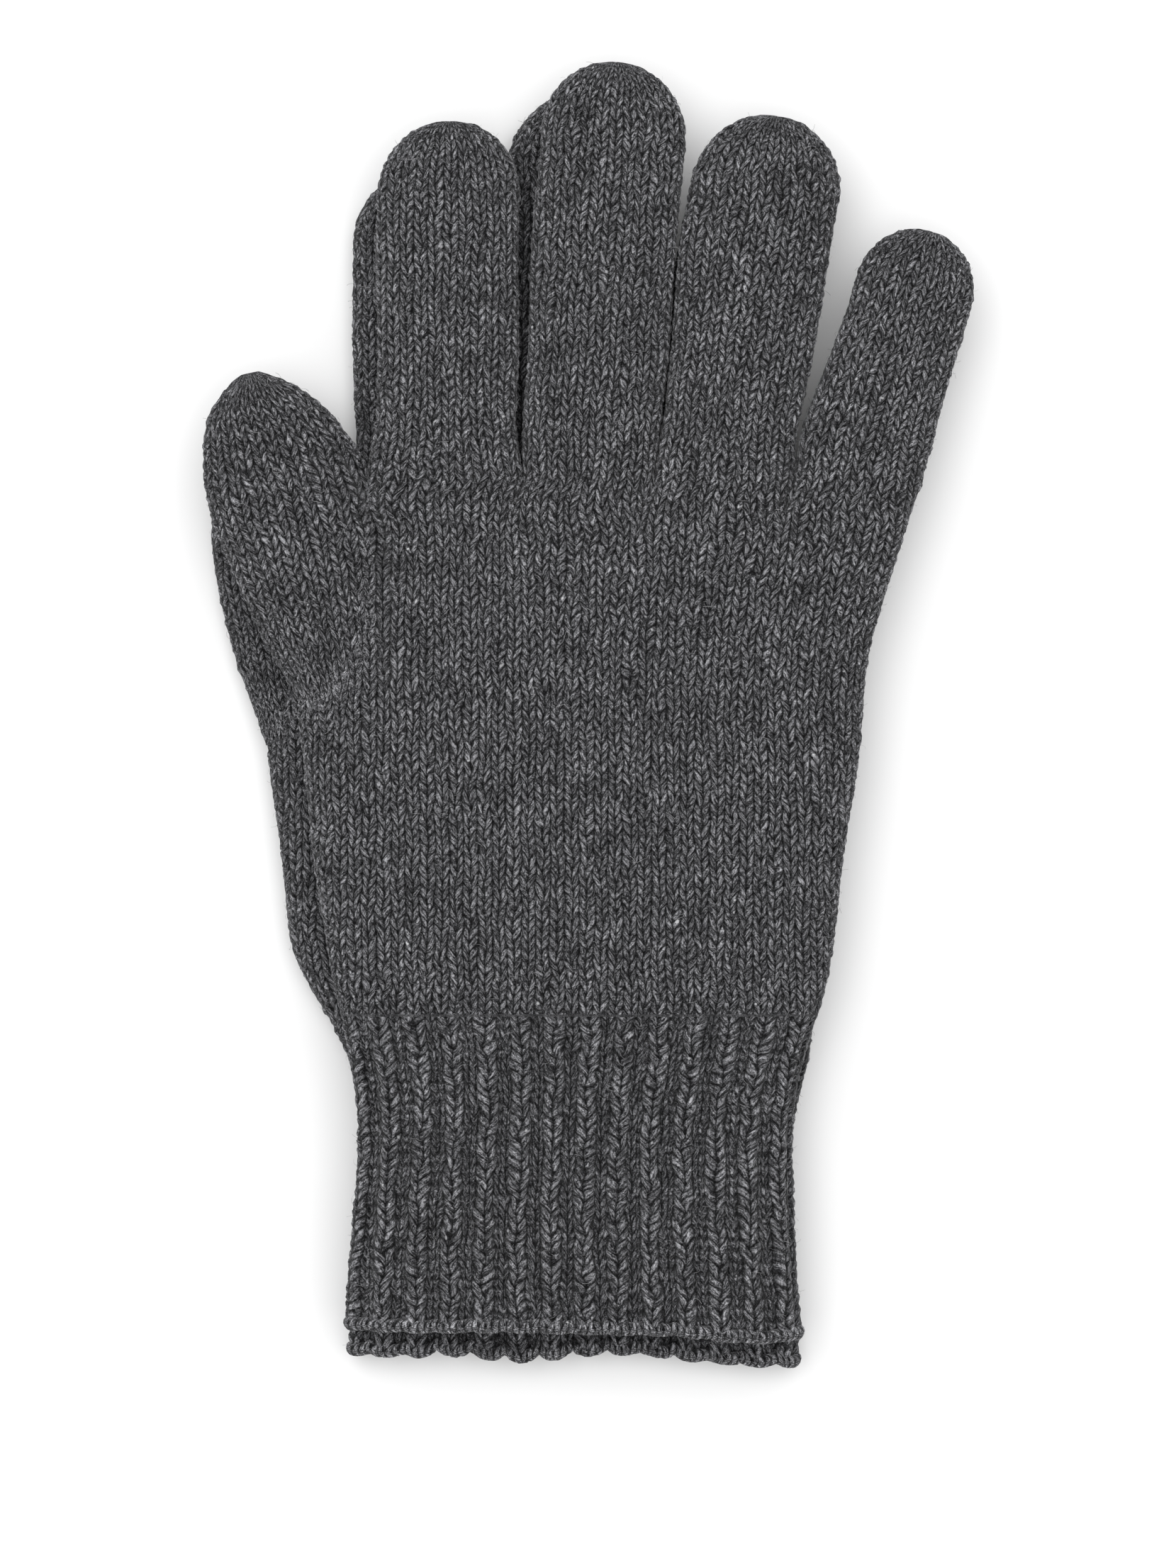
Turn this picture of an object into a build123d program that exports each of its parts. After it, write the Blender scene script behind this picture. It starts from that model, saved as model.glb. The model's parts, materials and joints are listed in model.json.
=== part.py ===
from build123d import *
import math
import os

# A pair of knitted gloves lying flat, one on the other, with the fingers along +Y.
# The under glove lies palm down and the top glove palm up, so both thumbs point to -X.
# The knitting is continuous from hem to fingertip. Each glove is divided only at the lines
# where it folds: wrist, thumb root, finger roots and middle of each finger. The hem is the
# cast-on edge. Lengths are in millimetres and the origin is under the centre of the pair.

# Overall sizes of one glove
KNUCKLE_W = 100.2        # across the four finger roots
HAND_L = 102.0           # from the wrist line to the finger roots
CUFF_L = 56.0            # from the wrist line to the hem
GLOVE_T = 9.0            # both layers and the air between them
WALL = 1.7               # one knitted layer
EDGE_R = 3.4             # rounding along the folded side edges

# Fingers: share of the knuckle width, length from the root, lean of the left and right edges
FINGERS = {
    "index": (0.271, 64.7, -1.5, -0.4),
    "middle": (0.239, 75.7, 2.6, 5.8),
    "ring": (0.250, 66.5, 6.6, 9.0),
    "little": (0.240, 45.3, 17.0, 18.5),
}
FINGER_GAP = 1.1         # clear slit between two neighbouring finger roots
STUB_L = 8.0             # the hand's own start of each finger, up to its folding line
MID_SHARE = 0.50         # where the middle fold crosses a finger, as a share of its length

# Thumb
THUMB_W = 26.8           # across the root
THUMB_L = 50.2           # from its folding line to the tip
THUMB_DOWN = 32.0        # folding line below the finger roots
TOP_THUMB_LEAN = (-13.2, -8.9)
UNDER_THUMB_LEAN = (-9.2, -6.7)
THUMB_GAP = 0.9          # clear slit between the thumb root and the side of the hand

# Hand and cuff widths, as shares of the knuckle width measured from its left end
LEFT_LOW = (-0.088, -0.900)      # left edge near the wrist: X share, share of HAND_L down
LEFT_HIGH = (-0.153, -0.421)     # left edge under the thumb
RIGHT_HIGH = (0.905, -0.290)
RIGHT_MID = (0.874, -0.640)
RIGHT_LOW = (0.842, -0.900)
WRIST = (-0.067, 0.804)          # left and right end of the wrist line
CUFF_WAIST = (-0.038, 0.765)     # narrowest place, under the wrist
CUFF_WAIST_DOWN = 17.0
HEM = (-0.057, 0.778)
HEM_H = 3.5              # height of the cast-on edge

FOLD_GAP = 0.5           # clear gap at a folding line
STACK_GAP = 0.5          # clear gap between the two gloves
UNDER_HAND = (-5.5, -5.0)        # the under glove's hand lies this much off the top glove's
UNDER_CUFF = (0.0, -5.0)         # and its cuff this much
END = 6.0                # how far an outline runs past the line that it is trimmed at

KNUCKLE_Y = 44.0
LEFT_X = -38.6           # left end of the knuckle line
CLEAR = 0.3              # air left round the box of an opening


def lean(x, degrees, run):
    """X of an edge that starts at x and leans by an angle, after a run along Y."""
    return x + math.tan(math.radians(degrees)) * run


def share(value):
    """X of a place given as a share of the knuckle width."""
    return LEFT_X + KNUCKLE_W * value


def outline(points, rounds=()):
    """A flat face with the given corners, some of them rounded."""
    face = make_face(Polyline(*points, close=True))
    for place, radius in rounds:
        corner = face.vertices().sort_by_distance(Vector(*place))[0]
        face = fillet(corner, radius)
    return face


def layer(face, low, high):
    """A flat solid between two heights."""
    return extrude(Pos(0, 0, low) * face, high - low, dir=(0, 0, 1))


def hollow_of(face):
    """The air inside a tube with the given outline."""
    return layer(offset(face, -WALL, kind=Kind.INTERSECTION), WALL, GLOVE_T - WALL)


def fabric(face):
    """The rounded outside and the hollow inside of one flat knitted tube."""
    outer = layer(face, 0, GLOVE_T)
    faces = outer.faces().sort_by(Axis.Z)
    outer = fillet(faces[0].edges() + faces[-1].edges(), EDGE_R)
    return outer, hollow_of(face)


def between(solid, low, high):
    """The part of a solid between two lines across the glove."""
    size = 4 * (KNUCKLE_W + HAND_L)
    box = Box(size, high - low, size, align=(Align.CENTER, Align.MIN, Align.CENTER))
    return solid & (Pos(0, low, 0) * box)


def strip(face, low, high):
    """The part of a flat face between two lines across the glove."""
    size = 4 * (KNUCKLE_W + HAND_L)
    window = Rectangle(size, high - low, align=(Align.CENTER, Align.MIN))
    return face & (Pos(0, low) * window)


def finger_edges():
    """Left and right X of each finger at the knuckle line."""
    edges = {}
    x = LEFT_X
    usable = KNUCKLE_W - FINGER_GAP * (len(FINGERS) - 1)
    for name, (part, _, _, _) in FINGERS.items():
        edges[name] = (x, x + usable * part)
        x += usable * part + FINGER_GAP
    return edges


def finger_outline(name, shift):
    """Outline of a whole finger, from inside the hand to its round tip."""
    dx, dy = shift
    left, right = finger_edges()[name]
    _, length, lean_l, lean_r = FINGERS[name]
    root = KNUCKLE_Y + dy
    ends = []
    for run in (-END, length):
        ends.append((lean(left, lean_l, run) + dx, lean(right, lean_r, run) + dx, root + run))
    (l0, r0, y0), (l1, r1, y1) = ends
    points = [(l0, y0), (r0, y0), (r1, y1), (l1, y1)]
    radius = 0.44 * (r1 - l1)
    return outline(points, [((l1, y1), radius), ((r1, y1), radius)])


def thumb_line(dy):
    return KNUCKLE_Y - THUMB_DOWN + dy


def thumb_edges(leans, run):
    """Left and right X of the thumb at a run past its folding line."""
    right = LEFT_X + 2.4
    return lean(right - THUMB_W, leans[0], run), lean(right, leans[1], run)


def thumb_outline(shift, leans):
    """Outline of the thumb, from its root inside the hand to its round tip."""
    dx, dy = shift
    line = thumb_line(dy)
    corner = (share(LEFT_HIGH[0]) + dx, KNUCKLE_Y + HAND_L * LEFT_HIGH[1] + dy)
    l0, r0 = thumb_edges(leans, 0)
    l1, r1 = thumb_edges(leans, THUMB_L)
    points = [
        corner,
        (r0 + dx, corner[1] - 14),
        (r0 + dx, line),
        (r1 + dx, line + THUMB_L),
        (l1 + dx, line + THUMB_L),
        (l0 + dx, line),
    ]
    radius = 0.44 * (r1 - l1)
    ends = [((l1 + dx, line + THUMB_L), radius), ((r1 + dx, line + THUMB_L), radius)]
    return outline(points, ends)


def hand_outline(hand, cuff):
    """Outline of the hand between the wrist and the finger roots."""
    dx, dy = hand
    wrist = KNUCKLE_Y - HAND_L + cuff[1]
    beside = thumb_edges((0, 0), 0)[1] + THUMB_GAP + dx
    last = finger_edges()["little"][1] + dx
    top = KNUCKLE_Y + dy
    points = [
        (share(WRIST[0]) + cuff[0], wrist - END),
        (share(WRIST[1]) + cuff[0], wrist - END),
        (share(WRIST[1]) + cuff[0], wrist),
        (share(RIGHT_LOW[0]) + dx, top + HAND_L * RIGHT_LOW[1]),
        (share(RIGHT_MID[0]) + dx, top + HAND_L * RIGHT_MID[1]),
        (share(RIGHT_HIGH[0]) + dx, top + HAND_L * RIGHT_HIGH[1]),
        (last, top),
        (LEFT_X + dx, top),
        (beside, thumb_line(dy) - FOLD_GAP / 2),
        (share(LEFT_HIGH[0]) + dx, top + HAND_L * LEFT_HIGH[1]),
        (share(LEFT_LOW[0]) + dx, top + HAND_L * LEFT_LOW[1]),
        (share(WRIST[0]) + cuff[0], wrist),
    ]
    return outline(points)


def cuff_outline(cuff):
    """Outline of the cuff and its hem."""
    dx, dy = cuff
    wrist = KNUCKLE_Y - HAND_L + dy
    rows = [
        (WRIST, wrist + END),
        (WRIST, wrist),
        (CUFF_WAIST, wrist - CUFF_WAIST_DOWN),
        (HEM, wrist - CUFF_L),
        (HEM, wrist - CUFF_L - END),
    ]
    left = [(share(ends[0]) + dx, y) for ends, y in rows]
    right = [(share(ends[1]) + dx, y) for ends, y in rows]
    return outline(left + right[::-1])


def rounded_hand(face, shift):
    """The hand with its starts of the fingers and thumb, rounded along its two sides."""
    solid = layer(face, 0, GLOVE_T)
    flat = solid.faces().sort_by(Axis.Z)
    first = LEFT_X + shift[0] - 3
    last = finger_edges()["little"][1] + shift[0] - 1
    sides = []
    for edge in flat[0].edges() + flat[-1].edges():
        middle = edge.center()
        inside = middle.Y > thumb_line(shift[1]) - 4 and first < middle.X < last
        if edge.length > 3 and abs(edge.tangent_at(0.5).Y) > 0.2 and not inside:
            sides.append(edge)
    return fillet(sides, EDGE_R)


def solid_of(shape):
    """The single solid of a shape."""
    solids = shape.solids()
    if len(solids) != 1:
        raise ValueError(f"{len(solids)} solids instead of one")
    return solids[0]


def box_between(edges_low, edges_high, low, high, base):
    """Largest upright box inside a leaning tube between two Y lines."""
    left = max(edges_low[0], edges_high[0]) + WALL + CLEAR
    right = min(edges_low[1], edges_high[1]) - WALL - CLEAR
    return (left, low, base + WALL + CLEAR), (right, high, base + GLOVE_T - WALL - CLEAR)


def glove(name, hand, cuff, thumb_leans, base, palm_up):
    """All solids, folding lines and openings of one glove that lies on the height base."""
    solids, folds, openings = {}, {}, {}
    half = FOLD_GAP / 2
    wrist = KNUCKLE_Y - HAND_L + cuff[1]
    palm_z = base + (GLOVE_T if palm_up else 0)
    far = 2 * (KNUCKLE_W + HAND_L)

    outer, hollow = fabric(cuff_outline(cuff))
    sleeve = outer - hollow
    hem_top = wrist - CUFF_L + HEM_H
    solids["cuff"] = between(sleeve, hem_top, wrist - half)
    solids["hem"] = between(sleeve, wrist - CUFF_L, hem_top)
    folds["wrist"] = ((share(WRIST[0]) + share(WRIST[1])) / 2 + cuff[0], wrist, palm_z)
    waist = (share(CUFF_WAIST[0]) + cuff[0], share(CUFF_WAIST[1]) + cuff[0])
    openings["cuff"] = box_between(waist, waist, wrist - CUFF_L - 2, wrist - 1, base)

    face = hand_outline(hand, cuff)
    hollows = [hollow_of(face)]
    line = thumb_line(hand[1])
    thumb = thumb_outline(hand, thumb_leans)
    face += strip(thumb, -far, line - half)
    outer, hollow = fabric(thumb)
    hollows.append(between(hollow, -far, line))
    solids["thumb"] = between(outer - hollow, line + half, far)
    l0, r0 = thumb_edges(thumb_leans, 0)
    folds["thumb"] = ((l0 + r0) / 2 + hand[0], line, palm_z)
    low = [x + hand[0] for x in thumb_edges(thumb_leans, 1)]
    high = [x + hand[0] for x in thumb_edges(thumb_leans, THUMB_L * 0.68)]
    openings["thumb"] = box_between(low, high, line + 1, line + THUMB_L * 0.68, base)

    for finger, (left, right) in finger_edges().items():
        _, length, lean_l, lean_r = FINGERS[finger]
        shape = finger_outline(finger, hand)
        outer, hollow = fabric(shape)
        root = KNUCKLE_Y + hand[1]
        fold = root + STUB_L
        middle = root + STUB_L + (length - STUB_L) * MID_SHARE
        face += strip(shape, root, fold - half)
        hollows.append(between(hollow, -far, fold))
        tube = outer - hollow
        solids[f"{finger}_lower"] = between(tube, fold + half, middle - half)
        solids[f"{finger}_tip"] = between(tube, middle + half, far)
        for key, y in ((f"{finger}_root", fold), (f"{finger}_middle", middle)):
            run = y - root
            x = (lean(left, lean_l, run) + lean(right, lean_r, run)) / 2 + hand[0]
            folds[key] = (x, y, palm_z)
        spans = {
            f"{finger}_lower": (fold + 0.5, middle - 0.5),
            f"{finger}_tip": (middle + 0.5, root + length - 0.30 * (right - left)),
        }
        for key, (y0, y1) in spans.items():
            ends = []
            for y in (y0, y1):
                run = y - root
                ends.append((lean(left, lean_l, run) + hand[0], lean(right, lean_r, run) + hand[0]))
            openings[key] = box_between(ends[0], ends[1], y0, y1, base)

    body = between(rounded_hand(face, hand), wrist + half, far)
    for hollow in hollows:
        body -= hollow
    solids["hand"] = body
    top = KNUCKLE_Y + hand[1]
    low_edges = (share(LEFT_LOW[0]) + hand[0], share(RIGHT_LOW[0]) + hand[0])
    narrow = (max(low_edges[0], share(WRIST[0]) + cuff[0]), min(low_edges[1], share(WRIST[1]) + cuff[0]))
    openings["hand"] = box_between(narrow, narrow, wrist - 1, line - 6, base)
    side = (LEFT_X + 4 + hand[0], share(RIGHT_HIGH[0]) + hand[0])
    openings["knuckles"] = box_between(side, side, line - 5, top - 4, base)

    placed = {f"{name}_{key}": Pos(0, 0, base) * solid_of(solid) for key, solid in solids.items()}
    folds = {f"{name}_{key}": value for key, value in folds.items()}
    openings = {f"{name}_{key}": value for key, value in openings.items()}
    return placed, folds, openings


STILL = (0.0, 0.0)
under = glove("under", UNDER_HAND, UNDER_CUFF, UNDER_THUMB_LEAN, 0.0, palm_up=False)
top = glove("top", STILL, STILL, TOP_THUMB_LEAN, GLOVE_T + STACK_GAP, palm_up=True)
solids = {**under[0], **top[0]}
folds = {**under[1], **top[1]}
openings = {**under[2], **top[2]}

# The origin goes under the centre of the pair.
boxes = [solid.bounding_box() for solid in solids.values()]
low = Vector(min(b.min.X for b in boxes), min(b.min.Y for b in boxes), min(b.min.Z for b in boxes))
high = Vector(max(b.max.X for b in boxes), max(b.max.Y for b in boxes), max(b.max.Z for b in boxes))
move = Vector(-(low.X + high.X) / 2, -(low.Y + high.Y) / 2, -low.Z)

os.makedirs("parts", exist_ok=True)
for name, solid in solids.items():
    export_step(Pos(move) * solid, os.path.join("parts", f"{name}.step"))
    print("node", name, round(solid.volume, 1))
for name, point in folds.items():
    x, y, z = Vector(*point) + move
    print("fold", name, round(x, 4), round(y, 4), round(z, 4))
for name, (near, far) in openings.items():
    x, y, z = Vector(*near) + move
    u, v, w = Vector(*far) + move
    print("opening", name, *(round(value, 3) for value in (x, y, z, u, v, w)))
size = high - low
print("size", round(size.X, 2), round(size.Y, 2), round(size.Z, 2))
print("move", round(move.X, 4), round(move.Y, 4), round(move.Z, 4))
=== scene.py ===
"""A pair of knitted wool gloves, one lying on the other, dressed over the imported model."""

import json
import math

import bpy
import numpy as np
from bpy.props import FloatProperty, IntProperty, PointerProperty, StringProperty
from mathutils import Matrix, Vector


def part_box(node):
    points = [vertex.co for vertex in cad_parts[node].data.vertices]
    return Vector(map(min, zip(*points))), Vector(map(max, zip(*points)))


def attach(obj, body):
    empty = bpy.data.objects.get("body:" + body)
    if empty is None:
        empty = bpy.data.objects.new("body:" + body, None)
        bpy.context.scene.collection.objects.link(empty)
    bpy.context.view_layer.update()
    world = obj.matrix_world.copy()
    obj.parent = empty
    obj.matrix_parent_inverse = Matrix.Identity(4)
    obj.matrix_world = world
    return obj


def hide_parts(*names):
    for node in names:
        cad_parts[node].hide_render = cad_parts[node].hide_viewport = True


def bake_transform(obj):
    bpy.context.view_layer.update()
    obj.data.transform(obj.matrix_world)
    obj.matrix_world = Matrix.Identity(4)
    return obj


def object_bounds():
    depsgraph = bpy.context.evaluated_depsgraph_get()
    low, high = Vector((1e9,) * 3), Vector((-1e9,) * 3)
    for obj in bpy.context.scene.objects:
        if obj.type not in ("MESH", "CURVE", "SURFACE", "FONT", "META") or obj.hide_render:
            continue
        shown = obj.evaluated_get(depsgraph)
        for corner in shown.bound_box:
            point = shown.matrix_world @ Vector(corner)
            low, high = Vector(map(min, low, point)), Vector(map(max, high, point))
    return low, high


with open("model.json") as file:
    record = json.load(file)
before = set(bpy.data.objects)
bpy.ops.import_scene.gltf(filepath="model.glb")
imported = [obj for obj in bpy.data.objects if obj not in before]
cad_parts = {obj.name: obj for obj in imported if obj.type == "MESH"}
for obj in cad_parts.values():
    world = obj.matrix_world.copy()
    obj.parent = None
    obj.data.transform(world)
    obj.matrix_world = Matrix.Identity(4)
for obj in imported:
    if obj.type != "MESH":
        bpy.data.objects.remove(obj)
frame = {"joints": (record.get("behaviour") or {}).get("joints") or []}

bl_info = {
    "name": "Knitted Gloves",
    "version": (1, 0, 0),
    "blender": (4, 5, 0),
    "location": "3D View > Sidebar > Gloves",
    "description": "Builds a pair of knitted wool gloves with ribbed cuffs",
    "category": "Add Mesh",
}

CAD_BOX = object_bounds()
JOINTS = {joint["name"]: Vector(joint["pos_m"]) for joint in frame["joints"] if "pos_m" in joint}
MM = 0.001

# Places on a glove are in millimetres from the middle of its wrist line: x across, y up the hand.
FINGER_WALES = {"index": 11, "middle": 11, "ring": 11, "little": 10}
HAND_WALES = sum(FINGER_WALES.values())
THUMB_WALES = 11
WALE = 2.66              # width of one column of stitches in the hand
MIDDLE_WALE = 100        # number of the wale that passes the middle of the wrist
ROOT_COURSE = 53         # the course at which the hand divides into fingers
THUMB_COURSE = 29        # the course at which the thumb starts inside the hand
RIB_PERIODS = 14         # ribs across one face of a cuff
RIB_COLUMNS = 16         # mesh columns across one rib period
KNIT_SHARE = 0.625       # of one rib period, the rest is the purl valley
HEM_LOOPS = 2.5          # loops of the cast-on edge in one rib period
# how far stitches stray from their places: share of a stitch, size of one swing in mm, seed
SLIP = (0.16, 2.3, 5)
SLIDE = (0.27, 2.9, 6)
# soft swells of the fabric: share of the height, mm per radian across and up, and phase
SWELLS = [(1.0, 7.3, 19.0, 0.0), (1.0, 12.1, -9.7, 1.3), (0.8, 31.0, 14.9, -0.7), (0.5, 4.1, -33.0, 0.0)]
SWELL_PEAK = 2.3
PALM_CREASE = (-1.2, 1.7, 0.9)       # place across, half width and depth
THUMB_CREASE = (1.4, 1.9)            # half width and depth, beside the thumb
# the side folds of the hand and of the cuff, each as a height and a place across
LEFT_FOLD = [(-8, -41.7), (0, -43.6), (9, -45.6), (20, -47.2), (36, -49.3), (51, -51.2), (59, -52.0),
             (70, -50.4), (80, -47.6), (90, -43.6), (101.2, -38.9)]
RIGHT_FOLD = [(-8, 41.2), (0, 43.6), (9, 45.6), (20, 47.5), (36, 49.4), (51, 51.5), (59, 52.3),
              (70, 53.6), (80, 56.3), (90, 59.4), (101.2, 63.5)]
CUFF_LEFT = [(-56, -43.2), (-36, -42.0), (-17, -40.7)] + LEFT_FOLD[:4]
CUFF_RIGHT = [(-56, 41.5), (-30, 39.4), (-17, 39.6)] + RIGHT_FOLD[:4]
# left and right of each finger at its root, then its end, the leans at its root and end in
# degrees, and its half widths at 0.15 of its length and from 0.6 of it to its round tip
FINGERS = {
    "index": (-38.9, -10.1, (-24.1, 166.9), 0.0, -0.5, 12.8, 13.0),
    "middle": (-10.1, 14.0, (6.9, 177.8), 3.0, 3.0, 12.7, 13.2),
    "ring": (14.0, 39.8, (36.6, 167.8), 6.0, 9.5, 12.3, 13.7),
    "little": (39.8, 63.5, (65.6, 146.4), 12.0, 18.5, 12.0, 10.7),
}
UNDER_FINGERS = {
    "index": (-38.3, -10.1, (-25.2, 163.8), 0.0, -0.5, 13.3, 13.2),
    "middle": (-10.1, 16.0, (5.0, 178.3), 4.5, 3.0, 13.2, 13.4),
    "ring": (16.0, 42.0, (38.0, 164.5), 3.0, 9.0, 12.4, 12.8),
    "little": (42.0, 64.6, (69.6, 145.4), 15.0, 18.5, 10.0, 10.2),
}
# middle, half width and lean of the thumb, from inside the hand to its tip
THUMB = [(-43.9, 55.0, 6.2, 0), (-44.2, 62.0, 7.6, -5), (-46.5, 72.0, 10.9, -10), (-49.3, 84.0, 13.7, -13),
         (-52.0, 94.0, 15.0, -15), (-54.3, 101.4, 14.9, -16), (-57.5, 109.8, 12.1, -17),
         (-59.5, 114.4, 9.3, -16), (-60.5, 118.0, 6.0, -14), (-60.8, 120.6, 1.2, -12)]
UNDER_THUMB = [(-45.0, 57.0, 7.0, 0), (-45.9, 64.0, 8.8, -3), (-47.6, 73.0, 11.1, -6),
               (-49.3, 84.0, 12.4, -8), (-50.4, 94.0, 13.4, -9), (-51.3, 102.0, 13.2, -9),
               (-52.5, 109.5, 11.4, -9), (-53.3, 114.0, 8.6, -9), (-53.6, 117.4, 5.4, -9),
               (-53.7, 119.6, 1.2, -9)]
# how far the under glove's hand lies to the side of its own cuff, by height
UNDER_SWAY = [(-6, 0.0), (2, -0.4), (9, -2.6), (16, -5.8), (22, -6.6), (35, -6.3), (60, -6.0), (95, -4.3),
              (110, -4.1)]
# how far each hem waves down from a straight edge, from left to right
HEM_WAVES = {
    "top": [(-44, -0.4), (-30, 0.1), (-12, -0.1), (2, 0.3), (18, 0.6), (32, 2.2), (39, 1.9), (43, 0.6)],
    "under": [(-44, -0.2), (-36, 0.6), (-24, -0.5), (-11, 1.3), (2, -0.4), (14, 0.1), (24, 1.6), (36, 2.4),
              (43, 1.9)],
}


class KnitSizes(bpy.types.PropertyGroup):
    """Sizes of the stitches and of the fabric."""

    course: FloatProperty(
        name="Course height", description="Height of one row of stitches", default=0.00191, unit="LENGTH")
    depth: FloatProperty(name="Half thickness", description="Half the thickness of a flat glove",
                         default=0.00395, unit="LENGTH")
    fold: FloatProperty(name="Side fold", description="Width over which a side of the tube rolls over",
                        default=0.0085, unit="LENGTH")
    stitch: FloatProperty(name="Stitch relief", description="Height of a stitch leg above its grooves",
                          default=0.0008, unit="LENGTH")
    rib: FloatProperty(
        name="Rib relief", description="Depth of the valley between two ribs", default=0.0021, unit="LENGTH")
    ripple: FloatProperty(name="Ripple", description="Height of the soft unevenness of the fabric",
                          default=0.00045, unit="LENGTH")
    top_columns: IntProperty(
        name="Columns in a top wale", description="Mesh columns across one stitch", default=8, min=4, max=12)
    under_columns: IntProperty(name="Columns in an under wale", description="Mesh columns across one stitch",
                               default=6, min=4, max=12)


class FibreSizes(bpy.types.PropertyGroup):
    """Sizes of the stray fibres that stand out of the wool."""

    density: FloatProperty(
        name="Fibre density", description="Stray fibres on a square metre of fabric", default=150000.0)
    length: FloatProperty(
        name="Fibre length", description="Usual length of a stray fibre", default=0.0012, unit="LENGTH")
    seed: IntProperty(name="Seed", description="Which way the stray fibres fall", default=7)


class WoolColours(bpy.types.PropertyGroup):
    """Colours of the wool, as sRGB hex values."""

    shadow: StringProperty(
        name="Dark fibre", description="Darkest fibres of the mixed wool", default="#151518")
    body: StringProperty(
        name="Main fibre", description="Commonest fibres of the mixed wool", default="#454547")
    light: StringProperty(name="Light fibre", description="Palest common fibres", default="#adadb1")
    fleck: StringProperty(name="Fleck", description="Rare pale flecks", default="#b9b9bb")


# ---------------- shapes

def folds(stations, y):
    """Place of a side fold at heights y, smooth through its stations."""
    ys, xs = np.array(sorted(stations)).T
    reach = 4.0
    return sum(np.interp(y + side * reach, ys, xs) for side in (0, -1, 1)) / 3


def ease(value, low, high):
    """0 below low, 1 above high and smooth between them."""
    t = np.clip((value - low) / (high - low), 0, 1)
    return t * t * (3 - 2 * t)


def chance(x, y, cell, seed):
    """Smooth random values between -1 and 1, about one swing in every cell."""
    size = 128
    shift = 500.0
    grid = np.random.default_rng(seed).uniform(-1, 1, (size, size))
    u, v = np.asarray(x) / cell + shift, np.asarray(y) / cell + shift
    i, j = np.floor(u).astype(int), np.floor(v).astype(int)
    s, t = ease(u - i, 0, 1), ease(v - j, 0, 1)
    near, right, above, across = [grid[(i + a) % size, (j + b) % size]
                                  for a, b in ((0, 0), (1, 0), (0, 1), (1, 1))]
    return (near * (1 - s) + right * s) * (1 - t) + (above * (1 - s) + across * s) * t


def run_along(*places):
    """Distance of every point along a line from its start."""
    return np.concatenate([[0], np.cumsum(np.hypot(*[np.diff(values) for values in places]))])


def roll(fractions, half, depth, corner):
    """Across and up of points spread evenly from one side fold of a flat tube to the other."""
    corner = min(corner, half * 0.999)
    turn = np.linspace(0, math.pi / 2, 36)
    across = corner * (1 - np.cos(turn) ** 0.95)
    up = depth * np.sin(turn) ** 0.95
    xs = np.concatenate([-half + across, (half - across)[::-1]])
    zs = np.concatenate([up, up[::-1]])
    run = run_along(xs, zs)
    return np.interp(fractions, run / run[-1], xs), np.interp(fractions, run / run[-1], zs)


def loop(centre, lean, across, up, middle):
    """One closed ring of a tube: over the top from left to right, then back underneath."""
    x = np.concatenate([across, across[-2:0:-1]])
    z = np.concatenate([up, -up[-2:0:-1]])
    return np.stack([centre[0] + x * math.cos(lean), centre[1] - x * math.sin(lean), middle + z], 1)


def spine(start, end, first, last):
    """Places, leans and lengths along a finger with given leans at its two ends."""
    t = np.linspace(0, 1, 120)[:, None]
    start, end = np.array(start, float), np.array(end, float)
    reach = np.linalg.norm(end - start)
    out, into = [np.array([math.sin(math.radians(lean)), math.cos(math.radians(lean))]) * reach
                 for lean in (first, last)]
    places = ((2 * t ** 3 - 3 * t ** 2 + 1) * start + (t ** 3 - 2 * t ** 2 + t) * out
              + (-2 * t ** 3 + 3 * t ** 2) * end + (t ** 3 - t ** 2) * into)
    steps = np.gradient(places, axis=0)
    leans = np.arctan2(steps[:, 0], steps[:, 1])
    return places, leans, run_along(*places.T)


def tip_rows(run, rounding, step):
    """Distances along a finger for its rows, with the share of full width and depth at each."""
    straight = np.arange(0, run - rounding, step)
    count = int(round(1.25 * rounding / step))
    q = np.linspace(0, 0.985, count + 1)
    t = 0.45 * q + 0.55 * np.sin(q * math.pi / 2)
    distance = np.concatenate([straight, run - rounding + t * rounding])
    width = np.concatenate([np.ones(len(straight)), (1 - t ** 2.0) ** 0.5])
    depth = np.concatenate([np.ones(len(straight)), (1 - t ** 2.6) ** 0.6])
    return distance, width, np.maximum(depth, 0.12)


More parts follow.
